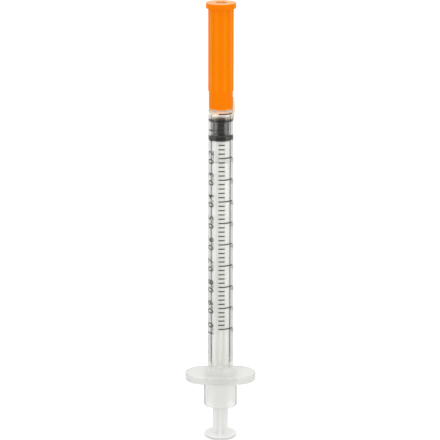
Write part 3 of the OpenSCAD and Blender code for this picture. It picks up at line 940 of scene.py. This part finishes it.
def barrel_material(looks):
    """Clear wall, with painted shade where the eye's light grazes the wall or the bore. The thick
    flange is milky, and the thin collar less so; painted shade darkens the flange's side, its ends
    and the part over the bore. Near the shield both take a painted reflection of its orange."""
    material, start, where = new_material("clear_moulding")
    x, y, z = where.parts()
    radius = (x * x + y * y) ** 0.5
    bore_r = looks.bore_d / 2
    front_r = looks.front_d / 2
    shoulder_z = BARREL_HIGH.z - looks.hub_len
    bore_end = shoulder_z - looks.end_wall

    in_bore = radius.past(bore_r, 0.3, 0.1)
    on_collar = z.past(FLANGE_LOW, 0, -0.3)
    on_plate = z.past(FLANGE_LOW, -0.3, 0.1)
    shaded_side = on_plate * z.past(FLANGE_TOP, 0.03, -0.16)
    end_shade = shaded_side * radius.rise(6.5 * MM, 9 * MM)
    on_root = z.past(FLANGE_TOP, 3.4, 1.2)
    on_tube = z.past(FLANGE_TOP, 1.6, 4)
    below_end = z.past(bore_end, -0.05, -0.4)
    near_end = z.past(bore_end, -2.5, -1)
    in_end = z.past(bore_end, -1.2, 0)
    on_hub = z.past(shoulder_z, 0.1, 0.6)
    on_lug = radius.past(front_r, 0.03, 0.15)
    on_lug *= z.past(bore_end, -3, -2)
    # Painted shade of the dark bore seen through the milky flange: an ellipse, since the eye sees the
    # bore through the whole depth of the flange
    from_bore = (x * x + y * y * 0.36) ** 0.5
    bore_shade = from_bore.rise(4.9 * MM, 3.3 * MM) * on_plate * 0.5
    bore_shade += from_bore.rise(3.4 * MM, 2.6 * MM) * (1 - on_plate) * 0.3

    from_air = 1 - start.node("ShaderNodeNewGeometry", output="Backfacing")
    seen = 1 - light_path(start, "Is Diffuse Ray")
    tinted = from_air * seen * below_end
    edge_on = edge_of_tube(start)
    # Painted shade: dark where the collar's rim, the wall's edges and the bore's line are seen edge
    # on
    on_rim = edge_on.rise(0.45, 0.62) * on_collar * tinted
    on_edge = edge_on.rise(0.12, 0.4) * on_tube * tinted
    from_line = edge_on - z * looks.line_lean - looks.line_at
    on_line = from_line.rise(-0.065, -0.03) * from_line.rise(0.05, 0.022) * on_tube * tinted
    on_bore_edge = edge_on.rise(0.22, 0.95) * on_tube * tinted

    passed = z.rise(looks.clear_z, FLANGE_TOP).mix(looks.clear, looks.thick)
    # Painted reflection of the shield's orange in the clear needle end
    passed = near_end.mix(passed, looks.warm)
    passed = on_hub.mix(passed, looks.clear)
    # Painted reflection of the shield's orange on the lug
    passed = on_lug.mix(passed, looks.lug)
    # Painted shade on the wall's edges, the collar's rim and the bore's line
    outer = on_edge.mix(passed, looks.edge)
    outer = on_rim.mix(outer, looks.rim)
    outer = on_line.mix(outer, looks.line)
    inner = on_bore_edge.mix(WHITE, looks.line)
    haze = noise(where, waves=900, detail=3, along=0.15)
    clear = plastic(
        start, Base_Color=in_bore.mix(outer, inner), Roughness=haze * 0.03 + 0.01,
        Transmission_Weight=1.0, IOR=1.49,
    )

    grain = noise(where, waves=1600, detail=3)
    milk = on_plate.mix(looks.milk, looks.flange)
    # Painted shade on the flange's side, with a little grain at random
    milk = (shaded_side * 0.9 + grain * 0.1).mix(milk, looks.side)
    # Painted shade at the flange's two ends
    milk = end_shade.mix(milk, looks.ends)
    # Painted shade of the bore seen through the flange
    milk = bore_shade.mix(milk, looks.core)
    # Painted reflection of the shield's orange on the needle end
    milk = in_end.mix(milk, looks.peach)
    milk = on_hub.mix(milk, looks.milk)
    # Its base takes the painted reflection of the shield's orange on the lug
    milky = plastic(
        start, Base_Color=on_lug.mix(milk, looks.lug), Roughness=grain * 0.1 + 0.3,
        Specular_IOR_Level=0.3, IOR=1.49, Transmission_Weight=0.0, Subsurface_Weight=1.0,
        Subsurface_Radius=(1, 1, 1), Subsurface_Scale=1.2 * MM,
        Normal=bump(grain, distance=0.01 * MM, strength=0.5),
    )
    # Milky plastic lets most of the light between pieces pass
    amount = on_root * (on_plate * (looks.milk_share - looks.collar_share) + looks.collar_share)
    amount = amount * (1 - on_rim * 0.7) + in_end * looks.end_share
    amount *= from_air * (seen * 0.8 + 0.2)
    mixed = start.node("ShaderNodeMixShader", {}, {0: amount, 1: clear, 2: milky})
    return finished(material, mixed)


def shield_material(looks):
    """Satin orange, with painted light where a flute thins the wall, a painted highlight on the top
    of the rim and painted shade in its recess. Its inside glows with the light that comes through the
    wall."""
    material, start, where = new_material("orange_moulding")
    x, y, z = where.parts()
    radius = (x * x + y * y) ** 0.5
    low, top = SHIELD_LOW.z, SHIELD_HIGH.z
    body_r = looks.body_d / 2
    recess_r = looks.recess_d / 2
    inner_r = looks.skirt_d / 2 - looks.wall
    step_z = low + looks.skirt_len

    flute_light = radius.rise(body_r, body_r - looks.flute_depth) * z.past(step_z, -0.1, 0)
    on_top = z.past(top, -0.06, -0.01)
    recess_shade_mask = z.past(top, -0.5, -0.3) * z.past(top, -0.02, -0.1)
    recess_shade_mask *= radius.past(recess_r, 0.1, 0)
    in_bore = radius.past(inner_r, 0.2, 0.05)
    inside = start.maths("MAXIMUM", in_bore, z.past(low, 0.12, 0.02))
    inside *= z.past(top, -1.2, -1.4)

    flow = noise(where, waves=700, detail=2, along=0.08)
    grain = noise(where, waves=5000, detail=3)
    # Painted light in the flutes, with a little flow of tone at random
    base = (flute_light * 0.8 + flow * 0.2).mix(looks.plastic, looks.thin)
    # Painted highlight on the top of the closed end
    base = on_top.mix(base, looks.pale)
    # Painted shade in the recess
    base = recess_shade_mask.mix(base, looks.recess_shade)
    return finished(material, plastic(
        start, Base_Color=base, Roughness=grain * 0.1 + 0.25, Specular_IOR_Level=0.05,
        Subsurface_Weight=0.5, Subsurface_Radius=(1, 0.5, 0.15), Subsurface_Scale=0.8 * MM,
        Normal=bump(grain, distance=0.006 * MM, strength=0.4),
        Coat_Weight=on_top * 0.25, Coat_Roughness=0.25,
        Emission_Color=inside.mix(BLACK, looks.inside), Emission_Strength=1.0,
    ))


def rod_material(looks):
    """Milky natural plastic that lets some light through. Painted shade darkens the edges of ribs and
    thumb rest, those of the ribs less so towards the stopper, and painted light brightens the thumb
    rest's face."""
    material, start, where = new_material("milky_moulding")
    x, y, z = where.parts()
    radius = (x * x + y * y) ** 0.5
    rib_r = looks.rib_span / 2
    face_z = looks.thumb_t

    above = z.rise(face_z, face_z + looks.flare_h)
    # Painted light on the face of the thumb rest
    lit_face = z.past(face_z, -0.1, -0.02) * (1 - above)
    # Painted shade on the side of the thumb rest
    shaded_side = z.past(face_z, -0.05, -0.2)
    # Painted shade on the ribs' outer edges, fading towards the stopper
    rib_edge_shade_mask = radius.past(rib_r, -0.4, -0.1) * above
    rib_edge_shade_mask *= z.rise(looks.faint_z, looks.dull_z) * 0.8 + 0.2

    flow = noise(where, waves=800, detail=3, along=0.1)
    grain = noise(where, waves=4500, detail=3)
    # Painted shade on the rib edges, with a little flow of tone at random
    base = (rib_edge_shade_mask * 0.9 + flow * 0.1).mix(looks.plastic, looks.rib_edge_shade)
    base = lit_face.mix(base, looks.rest)
    return finished(material, plastic(
        start, Base_Color=shaded_side.mix(base, looks.side), Roughness=grain * 0.15 + 0.3,
        Specular_IOR_Level=0.1, Subsurface_Weight=1.0, Subsurface_Radius=(1, 1, 1),
        Subsurface_Scale=2 * MM, Normal=bump(grain, distance=0.006 * MM, strength=0.4),
    ))


def stopper_material(looks):
    """Black rubber with a thin film of oil, thickest on the cone in front."""
    material, start, where = new_material("stopper_rubber")
    z = where.parts()[2]
    front = STOPPER_HIGH.z - looks.cone_h
    grain = noise(where, waves=5200, detail=4)
    return finished(material, plastic(
        start, Base_Color=grain.mix(looks.rubber, looks.bloom),
        Roughness=grain * 0.2 + 0.3, Specular_IOR_Level=0.4,
        Normal=bump(grain, distance=0.008 * MM, strength=0.1),
        Coat_Weight=z.past(front, -0.1, 0) * 0.6 + 0.4, Coat_Roughness=0.18,
    ))


def steel_material(looks):
    """Drawn stainless steel, streaked along the needle."""
    material, start, where = new_material("needle_steel")
    streaks = noise(where, waves=30000, detail=2, along=0.02)
    return finished(material, plastic(
        start, Base_Color=streaks.mix(looks.steel, looks.streak), Metallic=1.0,
        Roughness=streaks * 0.12 + 0.18,
    ))


def resin_material(looks):
    """Clear cured resin."""
    material, start, where = new_material("cured_resin")
    flow = noise(where, waves=3000, detail=2)
    return finished(material, plastic(
        start, Base_Color=flow.mix(looks.resin, looks.flow),
        Roughness=flow * 0.1 + 0.08, Transmission_Weight=0.6, IOR=1.5,
    ))


def ink_material(looks):
    """Printing ink that lies a little unevenly."""
    material, start, where = new_material("scale_ink")
    cover = noise(where, waves=9000, detail=3)
    return finished(material, plastic(
        start, Base_Color=cover.mix(looks.ink, looks.thin_ink),
        Roughness=cover * 0.2 + 0.45,
    ))


def surroundings(start, way, looks):
    """How much a ray sees, the brightness that gloss sees, which is less in front, and the bright
    strips at both sides that show in gloss. On what is inside the barrel, whose light passes the
    wall's four faces, the strips are brighter and all but the back is dimmer. Ahead runs from -1
    in front to 1 at the back."""
    x, y, _ = way.parts()
    ahead = y * (x * x + y * y) ** -0.5
    in_front = ahead.rise(0.0, -0.4)
    off_back = ahead.rise(0.85, 0.55)
    at_sides = ahead.rise(-0.74, -0.6) * ahead.rise(-0.2, -0.36)
    through = light_path(start, "Is Transmission Ray")
    seen = start.maths("MAXIMUM", light_path(start, "Is Camera Ray"), through)
    seen = start.maths("MAXIMUM", seen, light_path(start, "Is Glossy Ray"))
    mirrored = start.maths("MINIMUM", light_path(start, "Glossy Depth"), 1)
    deep = start.maths("GREATER_THAN", light_path(start, "Transmission Depth"), 3)
    dim = 1 - off_back * deep * mirrored * looks.inner_dim
    dim *= 1 - in_front * mirrored * looks.front_dim
    strip = at_sides * mirrored * (deep * looks.deep_gain + 1) * looks.strip
    return seen, dim, strip


def floor_material(looks):
    """Pale floor that shows white to the camera and keeps the shadow."""
    material, start, where = new_material("pale_floor")
    seen, dim, strip = surroundings(start, where, looks)
    shade = start.node("ShaderNodeBsdfDiffuse", {}, {"Color": dim.mix(BLACK, looks.floor)})
    strength = seen * (dim * looks.glow + strip)
    glow = start.node("ShaderNodeEmission", {}, {"Color": rgba(WHITE), "Strength": strength})
    return finished(material, start.node("ShaderNodeAddShader", {}, {0: shade, 1: glow}))


# Operators

class SYRINGE_OT_barrel(Operator):
    """Makes the barrel with its flange, collar, hub and lug"""

    bl_idname = "syringe.barrel"
    bl_label = "Barrel"

    def execute(self, context):
        looks = context.scene.syringe.barrel
        piece = add_piece(
            "barrel_moulding", barrel_shells(looks), barrel_material(looks), "barrel",
        )
        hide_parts("barrel")
        return {"FINISHED"}


class SYRINGE_OT_needle(Operator):
    """Gives the needle and the resin in the hub their finish"""

    bl_idname = "syringe.needle"
    bl_label = "Needle"

    def execute(self, context):
        looks = context.scene.syringe.needle
        dress("cannula", steel_material(looks))
        dress("needle_adhesive", resin_material(looks))
        return {"FINISHED"}


class SYRINGE_OT_shield(Operator):
    """Makes the needle shield with its soft flutes"""

    bl_idname = "syringe.shield"
    bl_label = "Needle shield"

    def execute(self, context):
        looks = context.scene.syringe.shield
        piece = add_piece(
            "shield_moulding", shield_shells(looks), shield_material(looks), "shield",
        )
        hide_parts("needle_shield")
        return {"FINISHED"}


class SYRINGE_OT_rod(Operator):
    """Makes the plunger rod with its filleted ribs"""

    bl_idname = "syringe.rod"
    bl_label = "Plunger rod"

    def execute(self, context):
        looks = context.scene.syringe.rod
        piece = add_piece(
            "rod_moulding", rod_shells(looks), rod_material(looks), "plunger",
        )
        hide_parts("plunger_rod")
        return {"FINISHED"}


class SYRINGE_OT_stopper(Operator):
    """Makes the rubber stopper, whose rings press on the bore"""

    bl_idname = "syringe.stopper"
    bl_label = "Stopper"

    def execute(self, context):
        syringe = context.scene.syringe
        shells = stopper_shells(syringe.stopper, syringe.rod, syringe.barrel.bore_d / 2)
        material = stopper_material(syringe.stopper)
        piece = add_piece("rubber_stopper", shells, material, "plunger")
        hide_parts("plunger_stopper")
        return {"FINISHED"}


class SYRINGE_OT_print(Operator):
    """Prints the scale and its numerals on the barrel"""

    bl_idname = "syringe.print_scale"
    bl_label = "Printed scale"

    def execute(self, context):
        syringe = context.scene.syringe
        ink = ink_material(syringe.print_)
        marks = mark_shells(syringe.print_, syringe.barrel)
        numerals = numeral_shells(syringe.print_, syringe.barrel)
        add_piece("scale_marks", marks, ink, "barrel")
        add_piece("scale_numerals", numerals, ink, "barrel")
        return {"FINISHED"}


class SYRINGE_OT_studio(Operator):
    """Sets the floor, the soft light and the camera"""

    bl_idname = "syringe.studio"
    bl_label = "Studio"

    def execute(self, context):
        looks = context.scene.syringe.studio
        scene = context.scene
        scene.view_settings.view_transform = "Standard"
        scene.cycles.max_bounces = LIGHT_BOUNCES
        scene.cycles.transmission_bounces = LIGHT_BOUNCES
        scene.cycles.blur_glossy = 0
        set_world(scene, looks)
        add_floor(looks)
        aim = Vector((-looks.aim_x, 0, looks.aim_z))
        add_light("key_light", looks.key_at, aim, looks.softbox, looks.key)
        add_light("fill_light", looks.fill_at, aim, looks.softbox, looks.fill)
        add_camera(scene, looks, aim)
        return {"FINISHED"}


def dress(node, material):
    """Gives a node of the frame one material."""
    mesh = frame["nodes"][node].data
    mesh.materials.clear()
    mesh.materials.append(material)


def look_at(thing, target, roll=0):
    """Turns a camera or a light at its place towards a point."""
    aim = (target - thing.location).to_track_quat("-Z", "Y").to_matrix()
    thing.rotation_euler = (aim @ Matrix.Rotation(roll, 3, "Z")).to_euler()


def set_world(scene, looks):
    """Even light from all round that shows plain white to the eye, in gloss and through plastic."""
    world = bpy.data.worlds.new("studio")
    scene.world = world
    world.use_nodes = True
    world.node_tree.nodes.clear()
    start = Wire(world.node_tree)
    way = start.node("ShaderNodeTexCoord", output="Generated")
    seen, dim, strip = surroundings(start, way, looks)
    strength = seen * (dim + strip - looks.sky) + looks.sky
    light = start.node("ShaderNodeBackground", {}, {"Color": rgba(WHITE), "Strength": strength})
    start.node("ShaderNodeOutputWorld", {}, {"Surface": light})


def add_floor(looks):
    """A wide square, as far below the thumb rest as the plunger needs when it is drawn out."""
    half = looks.floor_d / 2
    corners = np.array([(-1, -1, 0), (1, -1, 0), (1, 1, 0), (-1, 1, 0)]) * half
    corners[:, 2] = -looks.drop
    mesh = bpy.data.meshes.new("pale_floor")
    mesh.from_pydata(corners, [], [(0, 1, 2, 3)])
    mesh.materials.append(floor_material(looks))
    floor = add_object("pale_floor", mesh)


def add_light(name, location, aim, side, strength):
    """A square soft light whose face is as bright as a white sheet at strength 1."""
    light = bpy.data.lights.new(name, "AREA")
    light.shape = "SQUARE"
    light.size = side
    light.energy = strength * side * side * pi
    lamp = add_object(name, light)
    lamp.location = location
    look_at(lamp, aim)


def add_camera(scene, looks, aim):
    """The camera that sees the syringe as the photograph does."""
    data = bpy.data.cameras.new("camera")
    data.lens = looks.lens
    data.sensor_width = 36
    data.clip_start = 0.01
    data.clip_end = 10
    camera = add_object("camera", data)
    back = Vector((0, -cos(looks.tilt), sin(looks.tilt)))
    camera.location = aim + back * looks.distance
    look_at(camera, aim, looks.roll)
    scene.camera = camera


class SYRINGE_PT_looks(Panel):
    """Lists the pieces of the syringe and their sizes and colours"""

    bl_idname = "SYRINGE_PT_looks"
    bl_label = "Insulin Syringe"
    bl_space_type = "VIEW_3D"
    bl_region_type = "UI"
    bl_category = "Syringe"

    def draw(self, context):
        for operator, group in STEPS:
            box = self.layout.box()
            box.operator(operator.bl_idname)
            looks = getattr(context.scene.syringe, group)
            for name in looks.__annotations__:
                box.prop(looks, name)


STEPS = (
    (SYRINGE_OT_studio, "studio"),
    (SYRINGE_OT_barrel, "barrel"),
    (SYRINGE_OT_needle, "needle"),
    (SYRINGE_OT_shield, "shield"),
    (SYRINGE_OT_rod, "rod"),
    (SYRINGE_OT_stopper, "stopper"),
    (SYRINGE_OT_print, "print_"),
)
CLASSES = (
    BarrelLooks, ShieldLooks, RodLooks, StopperLooks, NeedleLooks, PrintLooks, StudioLooks,
    SyringeLooks, *(operator for operator, _ in STEPS), SYRINGE_PT_looks,
)


def register():
    """Makes the classes known and gives each scene the syringe's looks."""
    for cls in CLASSES:
        bpy.utils.register_class(cls)
    bpy.types.Scene.syringe = PointerProperty(type=SyringeLooks)


def unregister():
    """Takes back what register does."""
    del bpy.types.Scene.syringe
    for cls in reversed(CLASSES):
        bpy.utils.unregister_class(cls)


def main():
    """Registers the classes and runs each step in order."""
    register()
    bpy.ops.syringe.studio()
    bpy.ops.syringe.barrel()
    bpy.ops.syringe.needle()
    bpy.ops.syringe.shield()
    bpy.ops.syringe.rod()
    bpy.ops.syringe.stopper()
    bpy.ops.syringe.print_scale()


if __name__ == "__main__":
    main()
